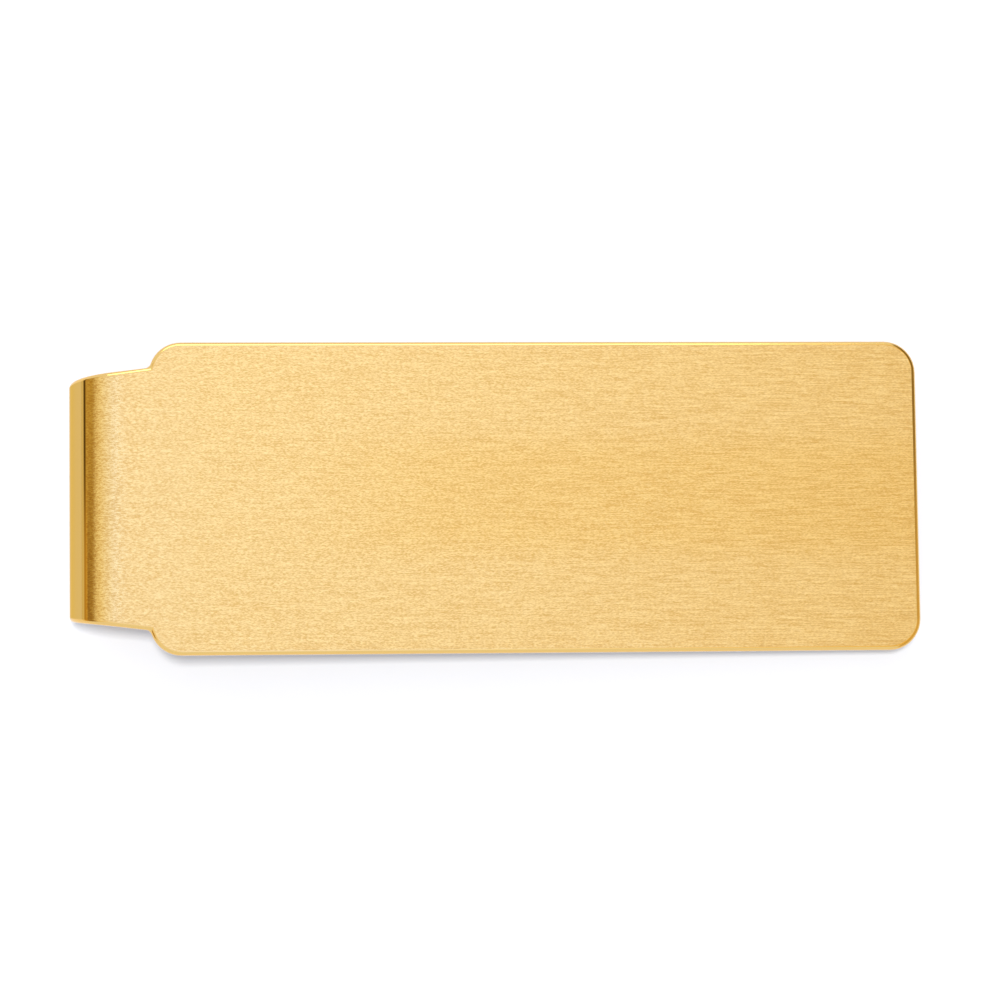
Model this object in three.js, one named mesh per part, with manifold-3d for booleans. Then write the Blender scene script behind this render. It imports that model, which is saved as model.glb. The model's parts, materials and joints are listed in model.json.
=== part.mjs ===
// Money clip: a dress plate whose neck is rolled into a bow, and a sprung clamping leaf
// hinged on a pin inside that bow. Notes are held between the plate and the leaf.
//
// The clip is drawn with its plate level: +X from the bow to the plate's free end, +Y across,
// +Z out of the plate's face, and the hinge pin's axis on the Y axis. At the end the whole clip
// is tipped down on to its bow and the leaf's lip, as it lies on a table, and centred on the origin.

import * as THREE from 'three';
import { mergeVertices } from 'three/addons/utils/BufferGeometryUtils.js';
import Module from 'manifold-3d';

// Driving dimensions, in millimetres.
const SHEET = 0.8; // thickness of the plate, the leaf and the lugs
const LENGTH = 54; // bow to the plate's free end
const PLATE_WIDTH = 19.8;
const CORNER = 2; // corner radius of the plate
const NECK_WIDTH = 16.6; // where the neck leaves the plate
const NECK_TAPER = 0.12; // half-width lost per millimetre along the neck and bow
const BOW_RADIUS = 3; // outer
const BOW_LIP = 12; // degrees that the bow runs on past its lowest point
const NOTCH_SETBACK = 2.07; // from the bow's centre to the plate's near end

const PIN_RADIUS = 0.6;
const RUNNING_GAP = 0.05; // radial, pin to knuckle and pin to lug
const PIN_HEAD = { radius: 1, height: 0.25, flat: 0.75 }; // flat: radius of its level middle
const LUG_OUTER_FACE = 6.6; // from the middle of the clip
const SIDE_GAP = 0.1; // leaf root to lug

const LEAF_SHOULDER = { start: 3.6, end: 5.2, halfWidth: 6.6 };
const LEAF_TIP_HALF_WIDTH = 5.4;
const LEAF_TIP_CORNER = 2.6;
const LEAF_CURL_START = -12; // degrees from +X, where the leaf's root closes on itself
const LEAF_ROOT_RUN = 4; // how far the blade leaves the knuckles straight
const LEAF_BELLY = { x: 12, z: -1.5, before: 5, after: 11 }; // mid-sheet, the widest part of the note space
const LEAF_CREST = { x: 40.5, gap: 0.03, before: 6.5, after: 2.1 }; // where the leaf bears on the plate
const LEAF_TIP = { x: 45.6, z: 0.6, run: 1.2, drop: 0.7 }; // run and drop: the lip's last slope
const WINDOW = { halfWidth: 2.3, end: 2.8 }; // cut in the leaf's root for the spring

const WIRE = 0.5; // spring wire diameter
const COIL_RADIUS = 1; // to the wire's centre
const COIL_TURNS = 6.75;
const COIL_PITCH = 0.54;
const COIL_SHARE = { from: 0.12, to: 0.84 }; // how much of the wire's path is drawn as coil
const LEAF_LEG = {
  leavesCoil: [1.1, -1.02],
  throughWindow: [2.1, -1.25],
  clearsLeaf: [3.1, -1.85],
  underLeaf: [4.4, -1.95],
  end: [6.2, -2.06],
}; // (x, z) along the leg that presses the leaf shut

// How finely the curves are divided.
const CORNER_STEPS = 8;
const BOW_STEPS = 30;
const KNUCKLE_STEPS = 28;
const BLADE_STEPS = 14;
const LUG_STEPS = 36;
const PIN_STEPS = 24;
const WIRE_STEPS = { along: 150, round: 4 };
const WELD = 1e-4;

const HALF_SHEET = SHEET / 2;
const PLATE_MID = BOW_RADIUS - HALF_SHEET;
const PLATE_END = LENGTH - BOW_RADIUS;
const PLATE_HALF = PLATE_WIDTH / 2;
const PLATE_UNDERSIDE = BOW_RADIUS - SHEET;
const KNUCKLE_MID = PIN_RADIUS + RUNNING_GAP + HALF_SHEET;
const LEAF_ROOT_HALF = LUG_OUTER_FACE - SHEET - SIDE_GAP;

const wasm = await Module();
wasm.setup();

function toManifold(geometry) {
  const bare = geometry.clone();
  bare.deleteAttribute('normal');
  bare.deleteAttribute('uv');
  const merged = mergeVertices(bare, WELD);
  return new wasm.Manifold(
    new wasm.Mesh({
      numProp: 3,
      vertProperties: Float32Array.from(merged.attributes.position.array),
      triVerts: Uint32Array.from(merged.index.array),
    }),
  );
}

function fromManifold(solid) {
  const mesh = solid.getMesh();
  const geometry = new THREE.BufferGeometry();
  geometry.setAttribute('position', new THREE.BufferAttribute(mesh.vertProperties, 3));
  geometry.setIndex(new THREE.BufferAttribute(mesh.triVerts, 1));
  return geometry;
}

// A piece of sheet that follows a side profile. Each station gives the sheet's middle (x, z),
// the direction it runs in (dx, dz) and its half-width there.
function sheetSolid(stations) {
  const positions = [];
  for (const { x, z, dx, dz, half } of stations) {
    const run = Math.hypot(dx, dz);
    const nx = (-dz / run) * HALF_SHEET;
    const nz = (dx / run) * HALF_SHEET;
    positions.push(x + nx, -half, z + nz, x + nx, half, z + nz);
    positions.push(x - nx, half, z - nz, x - nx, -half, z - nz);
  }
  const faces = [];
  const quad = (a, b, c, d) => faces.push(a, b, c, a, c, d);
  for (let i = 0; i < stations.length - 1; i += 1) {
    const here = 4 * i;
    const next = here + 4;
    for (let side = 0; side < 4; side += 1) {
      const other = (side + 1) % 4;
      quad(here + side, next + side, next + other, here + other);
    }
  }
  const last = 4 * (stations.length - 1);
  quad(0, 1, 2, 3);
  quad(last + 3, last + 2, last + 1, last);
  const geometry = new THREE.BufferGeometry();
  geometry.setAttribute('position', new THREE.Float32BufferAttribute(positions, 3));
  geometry.setIndex(faces);
  return geometry;
}

// Stations along a circle about the pin's axis; angles in degrees from +X towards +Z.
function arcStations(radius, from, to, steps, halfAt) {
  return Array.from({ length: steps + 1 }, (_, i) => {
    const angle = THREE.MathUtils.degToRad(from + ((to - from) * i) / steps);
    const turn = Math.sign(to - from);
    return {
      x: radius * Math.cos(angle),
      z: radius * Math.sin(angle),
      dx: -turn * Math.sin(angle),
      dz: turn * Math.cos(angle),
      half: halfAt(Math.abs(THREE.MathUtils.degToRad(from) - angle) * radius),
    };
  });
}

function makeFrontSheet() {
  const level = (x, half) => ({ x, z: PLATE_MID, dx: -1, dz: 0, half });
  const cornerCentre = PLATE_HALF - CORNER;
  const freeCorner = Array.from({ length: CORNER_STEPS + 1 }, (_, i) => {
    const angle = (Math.PI / 2) * (i / CORNER_STEPS);
    return level(PLATE_END - CORNER + CORNER * Math.cos(angle), cornerCentre + CORNER * Math.sin(angle));
  });
  const neckHalf = NECK_WIDTH / 2;
  const shoulderCentre = NOTCH_SETBACK + CORNER;
  const meet = Math.asin((neckHalf - cornerCentre) / CORNER);
  const shoulder = Array.from({ length: CORNER_STEPS + 1 }, (_, i) => {
    const angle = Math.PI / 2 + (meet - Math.PI / 2) * (i / CORNER_STEPS);
    return level(shoulderCentre - CORNER * Math.cos(angle), cornerCentre + CORNER * Math.sin(angle));
  });
  const neckStart = shoulder.at(-1).x;
  const bowHalf = (run) => neckHalf - NECK_TAPER * (neckStart + run);
  const bow = arcStations(PLATE_MID, 90, 270 + BOW_LIP, BOW_STEPS, bowHalf);
  return sheetSolid([...freeCorner, ...shoulder, ...bow]);
}

// One length of the leaf as a cubic curve in the side view.
function leafCurve(...points) {
  return new THREE.CubicBezierCurve(...points.map(([x, z]) => new THREE.Vector2(x, z)));
}

function leafHalfWidth(x) {
  const { start, end, halfWidth } = LEAF_SHOULDER;
  if (x < end) {
    return THREE.MathUtils.lerp(LEAF_ROOT_HALF, halfWidth, THREE.MathUtils.smoothstep(x, start, end));
  }
  const along = (x - end) / (LEAF_TIP.x - end);
  const tapered = THREE.MathUtils.lerp(halfWidth, LEAF_TIP_HALF_WIDTH, along);
  const intoCorner = THREE.MathUtils.clamp(x - (LEAF_TIP.x - LEAF_TIP_CORNER), 0, LEAF_TIP_CORNER);
  const cornerDrop = LEAF_TIP_CORNER - Math.sqrt(LEAF_TIP_CORNER ** 2 - intoCorner ** 2);
  return tapered - cornerDrop;
}

function makeLeaf() {
  const root = [0, -KNUCKLE_MID];
  const belly = [LEAF_BELLY.x, LEAF_BELLY.z];
  const crest = [LEAF_CREST.x, PLATE_UNDERSIDE - LEAF_CREST.gap - HALF_SHEET];
  const tip = [LEAF_TIP.x, LEAF_TIP.z];
  const beside = ([x, z], run, rise = 0) => [x + run, z + rise];
  const curves = [
    leafCurve(root, beside(root, LEAF_ROOT_RUN), beside(belly, -LEAF_BELLY.before), belly),
    leafCurve(belly, beside(belly, LEAF_BELLY.after), beside(crest, -LEAF_CREST.before), crest),
    leafCurve(crest, beside(crest, LEAF_CREST.after), beside(tip, -LEAF_TIP.run, LEAF_TIP.drop), tip),
  ];
  const knuckle = arcStations(KNUCKLE_MID, LEAF_CURL_START, 270, KNUCKLE_STEPS, () => LEAF_ROOT_HALF);
  const blade = curves.flatMap((curve) =>
    Array.from({ length: BLADE_STEPS }, (_, i) => {
      const t = (i + 1) / BLADE_STEPS;
      const point = curve.getPoint(t);
      const along = curve.getTangent(t);
      return { x: point.x, z: point.y, dx: along.x, dz: along.y, half: leafHalfWidth(point.x) };
    }),
  );
  const window = new THREE.BoxGeometry(2 * WINDOW.end, 2 * WINDOW.halfWidth, 2 * BOW_RADIUS);
  return fromManifold(toManifold(sheetSolid([...knuckle, ...blade])).subtract(toManifold(window)));
}

function makeLug() {
  const outline = new THREE.Shape().absarc(0, 0, PLATE_UNDERSIDE - RUNNING_GAP, 0, 2 * Math.PI);
  outline.holes.push(new THREE.Path().absarc(0, 0, PIN_RADIUS + RUNNING_GAP, 0, 2 * Math.PI, true));
  const options = { depth: SHEET, bevelEnabled: false, curveSegments: LUG_STEPS };
  const lug = new THREE.ExtrudeGeometry(outline, options);
  return lug.rotateX(Math.PI / 2);
}

// The pin's two ends are spread into low heads outside the lugs.
function makePin() {
  const reach = LUG_OUTER_FACE + RUNNING_GAP;
  const profile = [
    [0, -reach - PIN_HEAD.height],
    [PIN_HEAD.flat, -reach - PIN_HEAD.height],
    [PIN_HEAD.radius, -reach - PIN_HEAD.height / 2],
    [PIN_HEAD.radius, -reach],
    [PIN_RADIUS, -reach],
    [PIN_RADIUS, reach],
    [PIN_HEAD.radius, reach],
    [PIN_HEAD.radius, reach + PIN_HEAD.height / 2],
    [PIN_HEAD.flat, reach + PIN_HEAD.height],
    [0, reach + PIN_HEAD.height],
  ];
  return new THREE.LatheGeometry(profile.map(([r, y]) => new THREE.Vector2(r, y)), PIN_STEPS);
}

// One wire: a leg against the bow's lip, the coil round the pin, and a leg under the leaf.
class SpringCurve extends THREE.Curve {
  constructor() {
    super();
    const halfCoil = (COIL_TURNS * COIL_PITCH) / 2;
    const lip = THREE.MathUtils.degToRad(BOW_LIP);
    const lipX = BOW_RADIUS * Math.sin(lip) + WIRE / 2 + RUNNING_GAP;
    this.bowLeg = new THREE.Vector3(lipX, -halfCoil, -BOW_RADIUS * Math.cos(lip) + WIRE / 2);
    this.halfCoil = halfCoil;
    const route = [[0, -COIL_RADIUS], ...Object.values(LEAF_LEG)];
    const points = route.map(([x, z]) => new THREE.Vector3(x, halfCoil, z));
    this.leafLeg = new THREE.CatmullRomCurve3(points, false, 'centripetal');
  }

  getPoint(t, target = new THREE.Vector3()) {
    const { from, to } = COIL_SHARE;
    if (t < from) {
      return target.lerpVectors(this.bowLeg, new THREE.Vector3(COIL_RADIUS, -this.halfCoil, 0), t / from);
    }
    if (t > to) {
      return target.copy(this.leafLeg.getPoint((t - to) / (1 - to)));
    }
    const along = (t - from) / (to - from);
    const angle = 2 * Math.PI * COIL_TURNS * along;
    return target.set(
      COIL_RADIUS * Math.cos(angle),
      -this.halfCoil + COIL_TURNS * COIL_PITCH * along,
      COIL_RADIUS * Math.sin(angle),
    );
  }
}

function makeSpring() {
  const section = new THREE.Shape().absarc(0, 0, WIRE / 2, 0, 2 * Math.PI);
  return new THREE.ExtrudeGeometry(section, {
    steps: WIRE_STEPS.along,
    curveSegments: WIRE_STEPS.round,
    extrudePath: new SpringCurve(),
    bevelEnabled: false,
  });
}

const clip = new THREE.Group();

function addPiece(name, geometry, material, y = 0) {
  const mesh = new THREE.Mesh(geometry, new THREE.MeshStandardMaterial(material));
  mesh.name = name;
  mesh.position.y = y;
  clip.add(mesh);
}

const satinGold = { color: 0xf3cf8b, roughness: 0.38, metalness: 1 };
const polishedGold = { color: 0xf0c878, roughness: 0.15, metalness: 1 };
const springSteel = { color: 0xb9bcc0, roughness: 0.25, metalness: 1 };

addPiece('front_plate', makeFrontSheet(), satinGold);
addPiece('clamp_leaf', makeLeaf(), polishedGold);
addPiece('lug_near', makeLug(), polishedGold, -LUG_OUTER_FACE + SHEET);
addPiece('lug_far', makeLug(), polishedGold, LUG_OUTER_FACE);
addPiece('hinge_pin', makePin(), polishedGold);
addPiece('torsion_spring', makeSpring(), springSteel);

// Lying on a table, the clip rests on the bow and on the lower edge of the leaf's tip.
const tipLow = new THREE.Vector2(LEAF_TIP.x, LEAF_TIP.z - HALF_SHEET);
clip.rotation.y = tipLow.angle() + Math.asin(BOW_RADIUS / tipLow.length());

const tray = new THREE.Group();
tray.add(clip);
tray.updateMatrixWorld(true);
const box = new THREE.Box3().setFromObject(tray, true);
const centre = box.getCenter(new THREE.Vector3());
clip.position.set(-centre.x, 0, -box.min.z);

export default tray;
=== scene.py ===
"""Hinged money clip: satin-brushed gold-plated sheet, polished at its bow and edges.

Every piece is modelled with the plate level and the hinge pin on the Y axis, in metres: +X from
the bow to the plate's free end, +Z out of the plate's face. lay_down() then tips it on to the
table, about the hinge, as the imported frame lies.
"""
import json
import math

import bpy
from mathutils import Matrix, Vector


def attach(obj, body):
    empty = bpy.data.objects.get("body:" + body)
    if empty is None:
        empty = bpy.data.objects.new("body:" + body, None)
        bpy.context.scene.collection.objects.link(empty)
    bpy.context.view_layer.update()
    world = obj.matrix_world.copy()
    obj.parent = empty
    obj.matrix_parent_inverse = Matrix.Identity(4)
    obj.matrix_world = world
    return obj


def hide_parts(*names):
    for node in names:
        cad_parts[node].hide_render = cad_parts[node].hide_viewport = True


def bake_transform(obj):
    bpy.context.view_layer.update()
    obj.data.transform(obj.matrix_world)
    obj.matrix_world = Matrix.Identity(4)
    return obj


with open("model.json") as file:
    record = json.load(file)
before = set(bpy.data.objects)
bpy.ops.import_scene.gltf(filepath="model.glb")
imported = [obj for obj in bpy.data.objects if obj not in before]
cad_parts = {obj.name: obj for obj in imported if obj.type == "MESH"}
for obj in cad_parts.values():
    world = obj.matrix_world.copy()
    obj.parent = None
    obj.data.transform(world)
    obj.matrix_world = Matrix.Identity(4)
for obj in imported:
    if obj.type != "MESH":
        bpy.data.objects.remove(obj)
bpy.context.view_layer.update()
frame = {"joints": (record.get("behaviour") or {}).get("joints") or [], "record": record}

MM = 0.001

# ---------------------------------------------------------------- sizes, in millimetres
SHEET = 0.8
LENGTH = 54.0
PLATE_WIDTH = 19.8
CORNER = 2.0
NECK_WIDTH = 16.6
NECK_TAPER = 0.12
BOW_RADIUS = 3.0
BOW_LIP = 12.0
NOTCH_SETBACK = 2.07
PLATE_EDGE_ROUND = 0.26
LEAF_EDGE_ROUND = 0.22

PIN_RADIUS = 0.6
RUNNING_GAP = 0.05
PIN_HEAD_RADIUS = 1.0
PIN_HEAD_HEIGHT = 0.25
LUG_OUTER_FACE = 6.6
LUG_EDGE_ROUND = 0.12
SIDE_GAP = 0.1

LEAF_SHOULDER_START = 3.6
LEAF_SHOULDER_END = 5.2
LEAF_HALF_WIDTH = 6.6
LEAF_TIP_HALF_WIDTH = 5.4
LEAF_TIP_CORNER = 2.6
LEAF_ROLL_START = -12
LEAF_BELLY = (12.0, -1.5)
LEAF_CREST_X = 40.5
LEAF_CREST_GAP = 0.03
LEAF_TIP = (45.6, 0.6)
# Where the leaf's curves aim before and after its root, belly, crest and tip.
LEAF_ROOT_AIM = 4.0
LEAF_BELLY_AIMS = (7.0, 23.0)
LEAF_CREST_AIMS = (34.0, 42.6)
LEAF_TIP_AIM = (44.4, 1.3)
WINDOW_HALF_WIDTH = 2.3
WINDOW_END = 2.8
WINDOW_CORNER = 0.5

WIRE = 0.5
COIL_RADIUS = 1.0
COIL_TURNS = 6.75
COIL_PITCH = 0.54
# The leg under the leaf: off the coil's foot, down through the window, then along the leaf.
LEAF_LEG = [(0.9, -1.0), (1.5, -1.06), (2.0, -1.2), (2.4, -1.42), (2.8, -1.67), (3.2, -1.84),
            (3.7, -1.92), (4.6, -1.97), (6.2, -2.06)]

# How finely the curves are drawn.
CORNER_STEPS = 10
BOW_STEPS = 64
KNUCKLE_STEPS = 40
ROOT_STEPS = 16
BLADE_STEPS = 24
LIP_STEPS = 20
EDGE_STEPS = 5
DISC_SIDES = 64
PIN_SIDES = 48
DOME_STEPS = 6
WIRE_SIDES = 14
COIL_STEPS_PER_TURN = 28
SHARP_EDGE = 50

SHEET_MID_RADIUS = BOW_RADIUS - SHEET / 2
PLATE_END = LENGTH - BOW_RADIUS
PLATE_UNDERSIDE = BOW_RADIUS - SHEET
KNUCKLE_MID = PIN_RADIUS + RUNNING_GAP + SHEET / 2
LEAF_ROOT_HALF = LUG_OUTER_FACE - SHEET - SIDE_GAP

# How the clip lies: the hinge's place and the plate's slope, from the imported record.
hinge = Vector(frame["joints"][0]["pos_m"])
plate_normal = Vector(frame["record"]["mounts"][0]["axis"])
slope = math.atan2(plate_normal.x, plate_normal.z)
LYING = Matrix.Translation(hinge) @ Matrix.Rotation(slope, 4, "Y")


# ---------------------------------------------------------------- modelling helpers
def deselect_all():
    bpy.ops.object.select_all(action="DESELECT")


def edit(obj):
    """Opens obj for editing with nothing in it selected."""
    deselect_all()
    obj.select_set(True)
    bpy.context.view_layer.objects.active = obj
    bpy.ops.object.mode_set(mode="EDIT")
    bpy.ops.mesh.select_all(action="DESELECT")


def done():
    bpy.ops.object.mode_set(mode="OBJECT")


def pick(obj, kind, test):
    """In edit mode, selects just the vertices, edges or faces (kind) that pass the test."""
    bpy.ops.mesh.select_mode(type={"vertices": "VERT", "edges": "EDGE", "polygons": "FACE"}[kind])
    bpy.ops.mesh.select_all(action="DESELECT")
    bpy.ops.object.mode_set(mode="OBJECT")
    for element in getattr(obj.data, kind):
        element.select = test(element)
    bpy.ops.object.mode_set(mode="EDIT")


def apply_modifier(obj, kind, **settings):
    deselect_all()
    obj.select_set(True)
    bpy.context.view_layer.objects.active = obj
    modifier = obj.modifiers.new(kind.lower(), kind)
    for key, value in settings.items():
        setattr(modifier, key, value)
    bpy.ops.object.modifier_apply(modifier=modifier.name)


def smooth(obj, degrees=35):
    deselect_all()
    obj.select_set(True)
    bpy.context.view_layer.objects.active = obj
    bpy.ops.object.shade_smooth_by_angle(angle=math.radians(degrees))


def lay_down(obj):
    """Tips a finished piece from the level drawing on to the table, with its place in its mesh."""
    obj.matrix_world = LYING @ obj.matrix_world
    deselect_all()
    obj.select_set(True)
    bpy.context.view_layer.objects.active = obj
    bpy.ops.object.transform_apply(location=True, rotation=True, scale=True)


def extrude_sheet(name, stations):
    """Draws out a strip of sheet, one length after another: (x, z, half-width) in millimetres."""
    bpy.ops.mesh.primitive_plane_add(size=2 * MM, location=(0, 0, 0))
    sheet = bpy.context.object
    sheet.name = name
    edit(sheet)
    pick(sheet, "vertices", lambda v: v.co.x < 0)
    bpy.ops.mesh.delete(type="VERT")
    bpy.ops.mesh.select_all(action="SELECT")
    x, z, half = stations[0]
    bpy.ops.transform.resize(value=(1, half, 1), center_override=(0, 0, 0))
    bpy.ops.transform.translate(value=((x - 1) * MM, 0, z * MM))
    for next_x, next_z, next_half in stations[1:]:
        step = ((next_x - x) * MM, 0, (next_z - z) * MM)
        bpy.ops.mesh.extrude_region_move(TRANSFORM_OT_translate={"value": step})
        bpy.ops.transform.resize(value=(1, next_half / half, 1), center_override=(0, 0, 0))
        x, z, half = next_x, next_z, next_half
    bpy.ops.mesh.select_all(action="SELECT")
    bpy.ops.mesh.normals_make_consistent(inside=False)
    done()
    return sheet


def thicken(sheet, edge_round):
    """Gives a strip its thickness and its softly rounded, polished edges (material 1)."""
    apply_modifier(sheet, "SOLIDIFY", thickness=SHEET * MM, offset=0, use_even_offset=True,
                   use_quality_normals=True, material_offset_rim=1)
    apply_modifier(sheet, "BEVEL", width=edge_round * MM, segments=EDGE_STEPS, limit_method="ANGLE",
                   angle_limit=math.radians(SHARP_EDGE), material=1, loop_slide=False,
                   use_clamp_overlap=False)
    smooth(sheet)
    apply_modifier(sheet, "WEIGHTED_NORMAL", keep_sharp=False, weight=80)


def arc(radius, first, last, steps):
    """Points (x, z) round the pin's axis, from one angle to the other, in degrees from +X to +Z."""
    for i in range(steps + 1):
        angle = math.radians(first + (last - first) * i / steps)
        yield radius * math.cos(angle), radius * math.sin(angle)


# ---------------------------------------------------------------- materials
def linear(hex_colour):
    """An sRGB hex colour as the linear RGBA that a shader takes."""
    channels = [int(hex_colour[i:i + 2], 16) / 255 for i in (1, 3, 5)]
    return [c / 12.92 if c <= 0.04045 else ((c + 0.055) / 1.055) ** 2.4 for c in channels] + [1.0]


def add(tree, kind, values=None, links=None, **settings):
    """Adds a node: settings are its own, values go on its sockets, links join sockets to them."""
    node = tree.nodes.new(kind)
    for key, value in settings.items():
        setattr(node, key, value)
    for socket, value in (values or {}).items():
        node.inputs[socket].default_value = value
    for socket, source in (links or {}).items():
        tree.links.new(source, node.inputs[socket])
    return node


def new_material(name):
    material = bpy.data.materials.new(name)
    material.use_nodes = True
    material.node_tree.nodes.clear()
    return material, material.node_tree


def satin_gold():
    """Gold plate over brass, satin-brushed along its length on a belt and buffed at the bow."""
    material, tree = new_material("satin_brushed_gold")
    sheet_uv = add(tree, "ShaderNodeUVMap", uv_map="sheet").outputs["UV"]
    parts = add(tree, "ShaderNodeSeparateXYZ", links={0: sheet_uv})
    along = parts.outputs["Y"]

    def streaks(per_mm_across, per_mm_along, detail):
        """Long grains of noise. Turned and lifted off the noise's own grid, which would show as a weave."""
        stretched = add(tree, "ShaderNodeMapping",
                        {"Location": (0, 0, 0.37), "Rotation": (0, 0, 0.5),
                         "Scale": (per_mm_across, per_mm_along, 1)}, {0: sheet_uv})
        return add(tree, "ShaderNodeTexNoise", {"Scale": 1.0, "Detail": detail, "Roughness": 0.6},
                   {"Vector": stretched.outputs[0]}).outputs[0]

    def ramp(value, low, high, to_low=0.0, to_high=1.0):
        return add(tree, "ShaderNodeMapRange", {1: low, 2: high, 3: to_low, 4: to_high}, {0: value},
                   interpolation_type="SMOOTHSTEP").outputs[0]

    def mix(factor, a, b):
        return add(tree, "ShaderNodeMix", links={0: factor, 2: a, 3: b}, data_type="FLOAT").outputs[0]

    # A belt leaves short scratches, and hairlines a few millimetres long that tell towards the free end.
    # The real ones are about 0.02 mm apart, too fine to show, so these are drawn 0.04 to 0.05 mm apart.
    scratches = streaks(24, 6.0, 2)
    hairlines = streaks(22, 0.6, 3)
    brushed = mix(ramp(along, 5.0, 50.0, 0.3, 0.5), scratches, hairlines)
    # The belt can't follow the bow, so the brushing turns to a crinkled stipple beside it.
    stipple = streaks(13, 5, 4)
    at_bow = ramp(along, 7.0, -0.5, 0.0, 0.7)
    grain = mix(at_bow, brushed, stipple)
    # Past the bow's shoulder the sheet is buffed to a mirror.
    buffed = ramp(along, -2.0, -2.1)

    satin = add(tree, "ShaderNodeMix", {6: linear("#d6a95d"), 7: linear("#f4d38c")},
                {0: ramp(grain, 0.37, 0.63)}, data_type="RGBA").outputs[2]
    # Painted shade: a band along the middle of the face, past the bow, is drawn a shade deeper, standing in
    # for a darker reflection there.
    off_centre = add(tree, "ShaderNodeMath", links={0: parts.outputs["X"]}, operation="ABSOLUTE").outputs[0]
    painted_shade_band = add(tree, "ShaderNodeMath", links={0: ramp(off_centre, 5.0, 2.0), 1: ramp(along, 8.0, 22.0)},
                 operation="MULTIPLY").outputs[0]
    satin = add(tree, "ShaderNodeMix", {7: (0.985, 0.95, 0.84, 1)}, {0: painted_shade_band, 6: satin},
                data_type="RGBA", blend_type="MULTIPLY").outputs[2]
    colour = add(tree, "ShaderNodeMix", {7: linear("#d0aa5f")}, {0: buffed, 6: satin},
                 data_type="RGBA").outputs[2]
    roughness = ramp(along, -2.1, 1.2, 0.05, 0.33)
    relief = ramp(along, -2.1, -0.9, 0.0, 0.6)
    bump = add(tree, "ShaderNodeBump", {"Distance": 0.03 * MM}, {"Strength": relief, "Height": grain})
    tangent = add(tree, "ShaderNodeTangent", direction_type="UV_MAP", uv_map="sheet")
    shader = add(tree, "ShaderNodeBsdfPrincipled",
                 {"Metallic": 1.0, "Anisotropic": 0.6, "Specular Tint": (0.95, 0.78, 0.45, 1)},
                 {"Base Color": colour, "Roughness": roughness, "Normal": bump.outputs[0],
                  "Tangent": tangent.outputs[0]})
    add(tree, "ShaderNodeOutputMaterial", links={0: shader.outputs[0]})
    return material


def polished_gold(name, hex_colour, roughness):
    """Gold plate over buffed brass: a mirror with faint wheel marks."""
    material, tree = new_material(name)
    place = add(tree, "ShaderNodeTexCoord").outputs["Object"]
    stretched = add(tree, "ShaderNodeMapping", {"Scale": (0.5 / MM, 9 / MM, 9 / MM)}, {0: place})
    marks = add(tree, "ShaderNodeTexNoise", {"Scale": 1.0, "Detail": 3.0}, {"Vector": stretched.outputs[0]})
    cloud = add(tree, "ShaderNodeTexNoise", {"Scale": 0.35 / MM, "Detail": 2.0}, {"Vector": place})
    wiped = add(tree, "ShaderNodeMapRange", {1: 0.3, 2: 0.7, 3: roughness * 0.8, 4: roughness * 1.3},
                {0: cloud.outputs[0]})
    bump = add(tree, "ShaderNodeBump", {"Strength": 0.06, "Distance": 0.01 * MM},
               {"Height": marks.outputs[0]})
    shader = add(tree, "ShaderNodeBsdfPrincipled", {"Base Color": linear(hex_colour), "Metallic": 1.0},
                 {"Roughness": wiped.outputs[0], "Normal": bump.outputs[0]})
    add(tree, "ShaderNodeOutputMaterial", links={0: shader.outputs[0]})
    return material


def spring_steel():
    """Bright drawn music wire: nearly white, with die lines along the wire."""
    material, tree = new_material("drawn_spring_wire")
    place = add(tree, "ShaderNodeTexCoord").outputs["Object"]
    lines = add(tree, "ShaderNodeTexNoise", {"Scale": 6 / MM, "Detail": 3.0}, {"Vector": place})
    rough = add(tree, "ShaderNodeMapRange", {1: 0.3, 2: 0.7, 3: 0.18, 4: 0.34}, {0: lines.outputs[0]})
    bump = add(tree, "ShaderNodeBump", {"Strength": 0.1, "Distance": 0.01 * MM},
               {"Height": lines.outputs[0]})
    shader = add(tree, "ShaderNodeBsdfPrincipled", {"Base Color": linear("#c3c5c8"), "Metallic": 1.0},
                 {"Roughness": rough.outputs[0], "Normal": bump.outputs[0]})
    add(tree, "ShaderNodeOutputMaterial", links={0: shader.outputs[0]})
    return material


SATIN = satin_gold()
EDGE = polished_gold("polished_gold_edge", "#e6bb6c", 0.1)
POLISHED = polished_gold("polished_gold", "#edc072", 0.16)
STEEL = spring_steel()


def finish_piece(piece, body, slot_name, *materials):
    for material in materials:
        piece.data.materials.append(material)
    lay_down(piece)
    if body:
        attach(piece, body)


# ---------------------------------------------------------------- front plate
def front_stations():
    """The sheet's middle from the plate's free end, along the neck and round the bow."""
    inner = PLATE_WIDTH / 2 - CORNER
    for i in range(CORNER_STEPS + 1):
        angle = math.pi / 2 * i / CORNER_STEPS
        x = PLATE_END - CORNER + CORNER * math.cos(angle)
        yield x, SHEET_MID_RADIUS, inner + CORNER * math.sin(angle)
    meet = math.asin((NECK_WIDTH / 2 - inner) / CORNER)
    for i in range(CORNER_STEPS + 1):
        angle = math.pi / 2 + (meet - math.pi / 2) * i / CORNER_STEPS
        x = NOTCH_SETBACK + CORNER - CORNER * math.cos(angle)
        yield x, SHEET_MID_RADIUS, inner + CORNER * math.sin(angle)
    neck_start = NOTCH_SETBACK + CORNER - CORNER * math.cos(meet)
    for i, (x, z) in enumerate(arc(SHEET_MID_RADIUS, 90, 270 + BOW_LIP, BOW_STEPS)):
        run = SHEET_MID_RADIUS * math.radians(180 + BOW_LIP) * i / BOW_STEPS
        yield x, z, NECK_WIDTH / 2 - NECK_TAPER * (neck_start + run)


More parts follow.
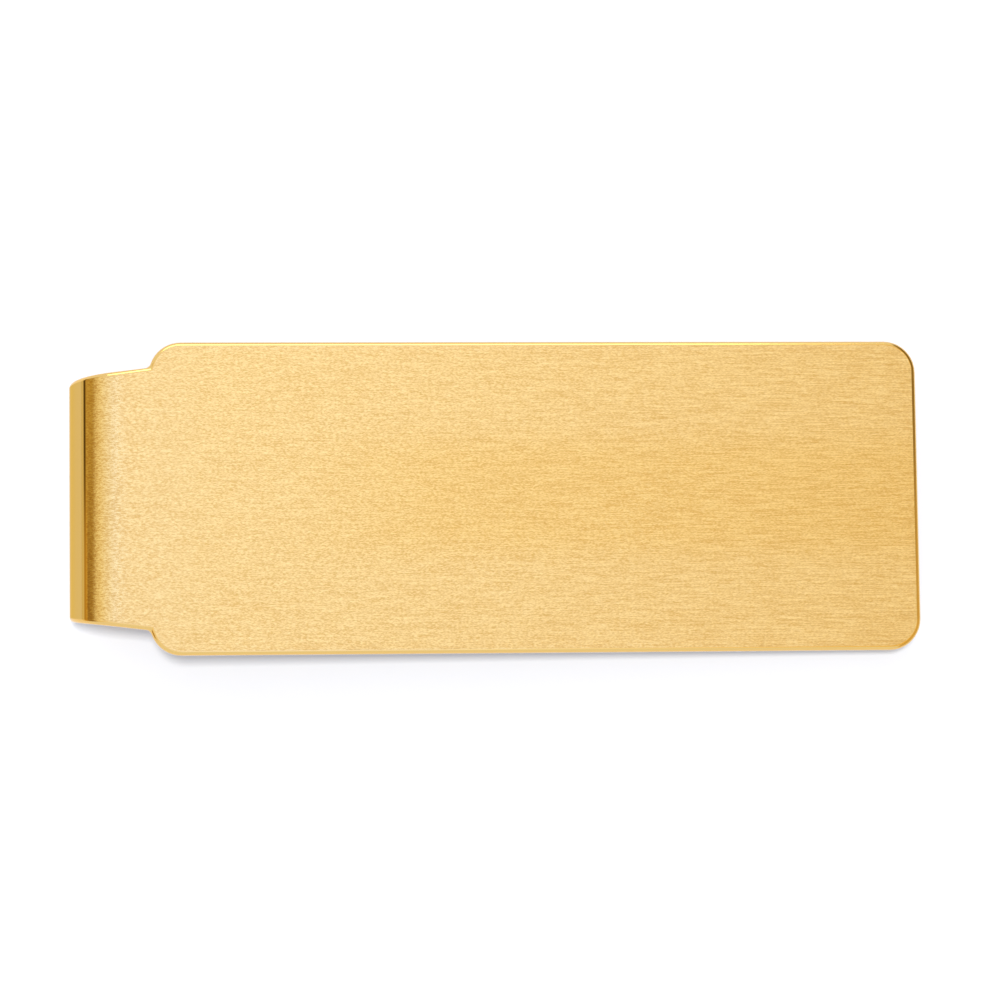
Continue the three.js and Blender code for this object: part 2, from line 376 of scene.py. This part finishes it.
def unroll(sheet):
    """A UV map in millimetres: across the sheet, then along it with the bow rolled out flat."""
    layer = sheet.data.uv_layers.new(name="sheet")
    for loop in sheet.data.loops:
        place = sheet.data.vertices[loop.vertex_index].co / MM
        along = place.x
        if place.x < 0 or place.z < 0:
            along = -BOW_RADIUS * (math.atan2(-place.x, place.z) % (2 * math.pi))
        layer.data[loop.index].uv = (place.y, along)


def make_front_plate():
    plate = extrude_sheet("front_plate_sheet", list(front_stations()))
    plate.data.materials.append(SATIN)
    plate.data.materials.append(EDGE)
    thicken(plate, PLATE_EDGE_ROUND)
    while plate.data.uv_layers:
        plate.data.uv_layers.remove(plate.data.uv_layers[0])
    unroll(plate)
    finish_piece(plate, "front", "satin_gold_plate")
    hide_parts("front_plate")


# ---------------------------------------------------------------- clamping leaf
def bezier(points, steps):
    """Points (x, z) along a cubic curve, without its first."""
    a, b, c, d = (Vector(p) for p in points)
    for i in range(1, steps + 1):
        t = i / steps
        u = 1 - t
        p = a * u ** 3 + b * 3 * u * u * t + c * 3 * u * t * t + d * t ** 3
        yield p.x, p.y


def leaf_half_width(x):
    if x < LEAF_SHOULDER_END:
        t = max(0.0, (x - LEAF_SHOULDER_START) / (LEAF_SHOULDER_END - LEAF_SHOULDER_START))
        return LEAF_ROOT_HALF + (LEAF_HALF_WIDTH - LEAF_ROOT_HALF) * t * t * (3 - 2 * t)
    along = (x - LEAF_SHOULDER_END) / (LEAF_TIP[0] - LEAF_SHOULDER_END)
    tapered = LEAF_HALF_WIDTH + (LEAF_TIP_HALF_WIDTH - LEAF_HALF_WIDTH) * along
    into_corner = min(max(0.0, x - (LEAF_TIP[0] - LEAF_TIP_CORNER)), LEAF_TIP_CORNER)
    return tapered - LEAF_TIP_CORNER + math.sqrt(LEAF_TIP_CORNER ** 2 - into_corner ** 2)


def leaf_stations():
    for x, z in arc(KNUCKLE_MID, LEAF_ROLL_START, 270, KNUCKLE_STEPS):
        yield x, z, LEAF_ROOT_HALF
    crest = PLATE_UNDERSIDE - LEAF_CREST_GAP - SHEET / 2
    belly_z = LEAF_BELLY[1]
    into_belly, out_of_belly = LEAF_BELLY_AIMS
    into_crest, out_of_crest = LEAF_CREST_AIMS
    lengths = [
        ([(0, -KNUCKLE_MID), (LEAF_ROOT_AIM, -KNUCKLE_MID), (into_belly, belly_z), LEAF_BELLY], ROOT_STEPS),
        ([LEAF_BELLY, (out_of_belly, belly_z), (into_crest, crest), (LEAF_CREST_X, crest)], BLADE_STEPS),
        ([(LEAF_CREST_X, crest), (out_of_crest, crest), LEAF_TIP_AIM, LEAF_TIP], LIP_STEPS),
    ]
    for points, steps in lengths:
        for x, z in bezier(points, steps):
            yield x, z, leaf_half_width(x)


def cut_window(leaf):
    """Opens the leaf's root in the middle, where the spring's coil sits between two knuckles."""
    edit(leaf)
    side = WINDOW_HALF_WIDTH * MM
    end = WINDOW_END * MM
    for point, normal in (((0, side, 0), (0, 1, 0)), ((0, -side, 0), (0, 1, 0)), ((end, 0, 0), (1, 0, 0))):
        bpy.ops.mesh.select_all(action="SELECT")
        bpy.ops.mesh.bisect(plane_co=point, plane_no=normal)
    pick(leaf, "polygons", lambda f: abs(f.center.y) < side and f.center.x < end)
    bpy.ops.mesh.delete(type="FACE")
    near = 0.01 * MM
    pick(leaf, "vertices", lambda v: abs(abs(v.co.y) - side) < near and abs(v.co.x - end) < near)
    bpy.ops.mesh.bevel(offset=WINDOW_CORNER * MM, segments=EDGE_STEPS, affect="VERTICES")
    bpy.ops.mesh.select_all(action="SELECT")
    bpy.ops.mesh.remove_doubles(threshold=0.002 * MM)
    done()


def make_leaf():
    leaf = extrude_sheet("clamp_leaf_sheet", list(leaf_stations()))
    cut_window(leaf)
    leaf.data.materials.append(POLISHED)
    leaf.data.materials.append(EDGE)
    thicken(leaf, LEAF_EDGE_ROUND)
    finish_piece(leaf, "leaf", "polished_gold_plate")
    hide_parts("clamp_leaf")


# ---------------------------------------------------------------- lugs and hinge pin
def make_lug(name, node, y_outer, side):
    """A disc inside the bow's end, drawn in from its rim to the pin's hole."""
    middle = (y_outer - side * SHEET / 2) * MM
    radius = PLATE_UNDERSIDE - RUNNING_GAP
    bpy.ops.mesh.primitive_circle_add(vertices=DISC_SIDES, radius=radius * MM, location=(0, middle, 0),
                                      rotation=(math.pi / 2, 0, 0))
    lug = bpy.context.object
    lug.name = name
    bpy.ops.object.transform_apply(location=True, rotation=True, scale=True)
    edit(lug)
    bpy.ops.mesh.select_all(action="SELECT")
    bpy.ops.mesh.extrude_region_move(TRANSFORM_OT_translate={"value": (0, 0, 0)})
    inward = (PIN_RADIUS + RUNNING_GAP) / radius
    bpy.ops.transform.resize(value=(inward, 1, inward), center_override=(0, middle, 0))
    bpy.ops.mesh.select_all(action="SELECT")
    bpy.ops.mesh.normals_make_consistent(inside=False)
    done()
    apply_modifier(lug, "SOLIDIFY", thickness=SHEET * MM, offset=0)
    apply_modifier(lug, "BEVEL", width=LUG_EDGE_ROUND * MM, segments=3, limit_method="ANGLE",
                   angle_limit=math.radians(SHARP_EDGE))
    smooth(lug)
    apply_modifier(lug, "WEIGHTED_NORMAL", keep_sharp=False, weight=80)
    finish_piece(lug, "front", "polished_gold_plate", POLISHED)
    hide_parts(node)


def make_pin():
    """A rod whose ends are spread cold into low domed heads over the lugs."""
    reach = (LUG_OUTER_FACE + RUNNING_GAP) * MM
    bpy.ops.mesh.primitive_cylinder_add(vertices=PIN_SIDES, radius=PIN_RADIUS * MM, depth=2 * reach,
                                        rotation=(math.pi / 2, 0, 0), location=(0, 0, 0))
    pin = bpy.context.object
    pin.name = "hinge_pin_rod"
    bpy.ops.object.transform_apply(location=True, rotation=True, scale=True)
    edit(pin)
    for side in (-1, 1):
        pick(pin, "polygons", lambda f: f.normal.y * side > 0.9 and f.center.y * side > reach * 0.99)
        bpy.ops.mesh.extrude_region_move(TRANSFORM_OT_translate={"value": (0, 0, 0)})
        spread = PIN_HEAD_RADIUS / PIN_RADIUS
        bpy.ops.transform.resize(value=(spread, 1, spread), center_override=(0, side * reach, 0))
        height = 0.0
        width = 1.0
        for i in range(1, DOME_STEPS + 1):
            angle = math.pi / 2 * i / (DOME_STEPS + 1)
            rise = PIN_HEAD_HEIGHT * math.sin(angle) - height
            shrink = math.cos(angle) / width
            bpy.ops.mesh.extrude_region_move(TRANSFORM_OT_translate={"value": (0, side * rise * MM, 0)})
            bpy.ops.transform.resize(value=(shrink, 1, shrink), center_override=(0, 0, 0))
            height += rise
            width *= shrink
    bpy.ops.mesh.select_all(action="SELECT")
    bpy.ops.mesh.normals_make_consistent(inside=False)
    done()
    smooth(pin, 45)
    finish_piece(pin, "front", "polished_gold_plate", POLISHED)
    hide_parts("hinge_pin")


# ---------------------------------------------------------------- torsion spring
def extrude_wire(points):
    """Draws the selected end ring out through the points, squaring it to the wire as it goes."""
    for (x, z), (next_x, next_z), turn in points:
        bpy.ops.mesh.extrude_region_move(
            TRANSFORM_OT_translate={"value": ((next_x - x) * MM, 0, (next_z - z) * MM)})
        if turn:
            bpy.ops.transform.rotate(value=turn, orient_axis="Y",
                                     center_override=(next_x * MM, 0, next_z * MM))


def wire_run(route):
    """Pairs up a route's points, with the turn that the wire makes at each."""
    for i in range(len(route) - 1):
        here = math.atan2(route[i + 1][1] - route[i][1], route[i + 1][0] - route[i][0])
        after = here
        if i + 2 < len(route):
            after = math.atan2(route[i + 2][1] - route[i + 1][1], route[i + 2][0] - route[i + 1][0])
        yield route[i], route[i + 1], after - here


def make_spring():
    """One wire wound round the pin, a leg against the bow's lip and a leg under the leaf."""
    half_coil = COIL_TURNS * COIL_PITCH / 2
    coil_steps = round(COIL_TURNS * COIL_STEPS_PER_TURN)
    bpy.ops.mesh.primitive_circle_add(vertices=WIRE_SIDES, radius=WIRE / 2 * MM,
                                      location=(COIL_RADIUS * MM, -half_coil * MM, 0))
    spring = bpy.context.object
    spring.name = "torsion_spring_wire"
    bpy.ops.object.transform_apply(location=True, rotation=True, scale=True)
    apply_modifier(spring, "SCREW", axis="Y", angle=-2 * math.pi * COIL_TURNS,
                   screw_offset=COIL_TURNS * COIL_PITCH * MM, steps=coil_steps,
                   render_steps=coil_steps, use_smooth_shade=True)
    edit(spring)
    lip = math.radians(BOW_LIP)
    lip_x = BOW_RADIUS * math.sin(lip) + WIRE / 2 + RUNNING_GAP
    lip_z = -BOW_RADIUS * math.cos(lip) + WIRE / 2
    start = -half_coil * MM
    near = WIRE * 0.6 * MM
    flat = 1e-7
    pick(spring, "vertices", lambda v: abs(v.co.z) < flat and abs(v.co.y - start) < near
         and abs(v.co.x - COIL_RADIUS * MM) < near)
    extrude_wire([((COIL_RADIUS, 0), (lip_x, lip_z), 0)])
    bpy.ops.mesh.edge_face_add()
    end = half_coil * MM
    pick(spring, "vertices", lambda v: abs(v.co.x) < flat and abs(v.co.y - end) < near and v.co.z < 0)
    extrude_wire(wire_run([(0, -COIL_RADIUS), *LEAF_LEG]))
    bpy.ops.mesh.edge_face_add()
    bpy.ops.mesh.select_all(action="SELECT")
    bpy.ops.mesh.remove_doubles(threshold=0.001 * MM)
    bpy.ops.mesh.normals_make_consistent(inside=False)
    done()
    smooth(spring, 50)
    finish_piece(spring, None, "spring_wire", STEEL)
    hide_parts("torsion_spring")
    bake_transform(spring)


# ---------------------------------------------------------------- studio
def make_floor():
    """An opal acrylic table, lit a little from below, so that shadows on it stay short and pale."""
    bpy.ops.mesh.primitive_plane_add(size=2.4, location=(0, 0, -0.01 * MM))
    floor = bpy.context.object
    floor.name = "table"
    material, tree = new_material("opal_acrylic_table")
    shader = add(tree, "ShaderNodeBsdfPrincipled",
                 {"Base Color": (0.455, 0.455, 0.455, 1), "Roughness": 0.9, "Specular IOR Level": 0.1,
                  "Emission Color": (0.9, 0.97, 1.12, 1), "Emission Strength": 0.225})
    add(tree, "ShaderNodeOutputMaterial", links={0: shader.outputs[0]})
    floor.data.materials.append(material)
    return floor


def colour_ramp(tree, value, stops):
    """A run of colours: (value, red, green, blue)."""
    node = add(tree, "ShaderNodeValToRGB", links={0: value})
    elements = node.color_ramp.elements
    while len(elements) < len(stops):
        elements.new(0.5)
    for element, (place, *colour) in zip(elements, stops):
        element.position = place
        element.color = (*colour, 1)
    return node.outputs[0]


def make_world():
    """A tent with a white roof, tinted cloth across it and bronze strips low down for the bow to mirror."""
    world = bpy.data.worlds.new("studio_tent")
    bpy.context.scene.world = world
    world.use_nodes = True
    tree = world.node_tree
    tree.nodes.clear()
    direction = add(tree, "ShaderNodeTexCoord").outputs["Generated"]
    parts = add(tree, "ShaderNodeSeparateXYZ", links={0: direction}).outputs
    white = (1.0, 1.0, 1.0)
    gold_card = (0.72, 0.5, 0.155)
    bronze = (0.61, 0.475, 0.19)
    umber = (0.38, 0.27, 0.11)
    brown = (0.135, 0.098, 0.045)
    # Each strip, from the table's edge up to straight overhead.
    far_side = colour_ramp(tree, parts["Z"],
                           [(0.0, *white), (0.1, *white), (0.13, *brown), (0.21, *brown),
                            (0.24, *bronze), (0.6, *bronze), (0.78, *white)])
    near_side = colour_ramp(tree, parts["Z"],
                            [(0.0, *white), (0.12, *white), (0.15, *gold_card), (0.27, *gold_card),
                             (0.34, *umber), (0.56, *umber), (0.7, *white)])
    side = add(tree, "ShaderNodeMapRange", {1: 0.08, 2: 0.11}, {0: parts["Y"]},
               interpolation_type="SMOOTHSTEP")
    tent = add(tree, "ShaderNodeMix", links={0: side.outputs[0], 6: near_side, 7: far_side},
               data_type="RGBA")
    sideways = add(tree, "ShaderNodeMapRange", {1: -0.6, 2: 0.4}, {0: parts["X"]}).outputs[0]
    # The cloth is coolest over the plate's middle and warm beyond its free end.
    cloth = colour_ramp(tree, sideways,
                        [(0.0, 1.02, 0.97, 0.75), (0.2, 1.08, 1.11, 1.2), (0.45, 1.11, 1.2, 1.55),
                         (0.63, 1.12, 1.25, 1.85), (0.7, 1.2, 1.5, 2.9), (0.76, 1.22, 1.42, 2.0),
                         (0.86, 1.06, 0.84, 0.27)])
    lit = add(tree, "ShaderNodeVectorMath", links={0: tent.outputs[2], 1: cloth}, operation="MULTIPLY")
    # Pale walls stand along both long sides, where only the plate's rounded edges mirror them.
    off_middle = add(tree, "ShaderNodeMath", links={0: parts["Y"]}, operation="ABSOLUTE").outputs[0]
    walls = add(tree, "ShaderNodeMapRange", {1: 0.35, 2: 0.45}, {0: off_middle},
                interpolation_type="SMOOTHSTEP")
    lit = add(tree, "ShaderNodeMix", {7: (1.02, 1.12, 1.35, 1)}, {0: walls.outputs[0], 6: lit.outputs[0]},
              data_type="RGBA")
    # A dark flag stands beyond the free end; its near half is gold card.
    flag = add(tree, "ShaderNodeMix", {6: (0.8, 0.66, 0.36, 1), 7: (0.28, 0.22, 0.12, 1)},
               {0: side.outputs[0]}, data_type="RGBA")
    past_end = add(tree, "ShaderNodeMapRange", {1: 0.37, 2: 0.5}, {0: parts["X"]},
                   interpolation_type="SMOOTHSTEP")
    lit = add(tree, "ShaderNodeMix", links={0: past_end.outputs[0], 6: lit.outputs[2], 7: flag.outputs[2]},
              data_type="RGBA")
    seen = add(tree, "ShaderNodeLightPath").outputs["Is Camera Ray"]
    colour = add(tree, "ShaderNodeMix", {7: (0.93, 0.93, 0.93, 1)}, {0: seen, 6: lit.outputs[2]},
                 data_type="RGBA")
    back = add(tree, "ShaderNodeBackground", {"Strength": 1.0}, {0: colour.outputs[2]})
    add(tree, "ShaderNodeOutputWorld", links={0: back.outputs[0]})


def make_softbox(name, place, aim, width, depth, watts, only_on=None):
    """A soft lamp panel; it lights but isn't itself in the picture. only_on limits what it lights."""
    panel = bpy.data.lights.new(name, "AREA")
    panel.shape = "RECTANGLE"
    panel.size = width
    panel.size_y = depth
    panel.energy = watts
    lamp = bpy.data.objects.new(name, panel)
    lamp.location = place
    lamp.rotation_euler = (Vector(aim) - Vector(place)).to_track_quat("-Z", "Y").to_euler()
    lamp.visible_camera = False
    bpy.context.scene.collection.objects.link(lamp)
    if only_on:
        lit = bpy.data.collections.new(name + "_lights")
        lit.objects.link(only_on)
        lamp.light_linking.receiver_collection = lit


def make_camera():
    """Almost straight above, leaning a little towards the clip's near edge."""
    aim = Vector((0.305, -0.09, 3.0)) * MM
    distance = 0.24719
    lean_x = math.radians(0.843)
    lean_y = math.radians(5.534)
    turn = math.radians(0.737)
    away = Vector((-math.sin(lean_x), -math.sin(lean_y), 0))
    away.z = math.sqrt(1 - away.length_squared)
    right = (-away).cross(Vector((math.sin(turn), math.cos(turn), 0))).normalized()
    up = right.cross(-away)
    camera = bpy.data.cameras.new("camera")
    camera.sensor_width = 36
    camera.lens = 139.85
    camera.clip_start = 0.01
    holder = bpy.data.objects.new("camera", camera)
    rotation = Matrix((right, up, away)).transposed().to_4x4()
    holder.matrix_world = Matrix.Translation(aim + away * distance) @ rotation
    bpy.context.scene.collection.objects.link(holder)
    bpy.context.scene.camera = holder


make_camera()
make_front_plate()
make_leaf()
make_lug("lug_near_disc", "lug_near", -LUG_OUTER_FACE, -1)
make_lug("lug_far_disc", "lug_far", LUG_OUTER_FACE, 1)
make_pin()
make_spring()
table = make_floor()
make_world()
make_softbox("key", (-0.05, 0.6, 0.6), (0, 0, 0), 0.5, 0.3, 1.5)
make_softbox("table_wash", (0.0, 0.01, 0.8), (0, 0, 0), 0.1, 0.1, 6.3, table)
bpy.context.scene.view_settings.view_transform = "Standard"
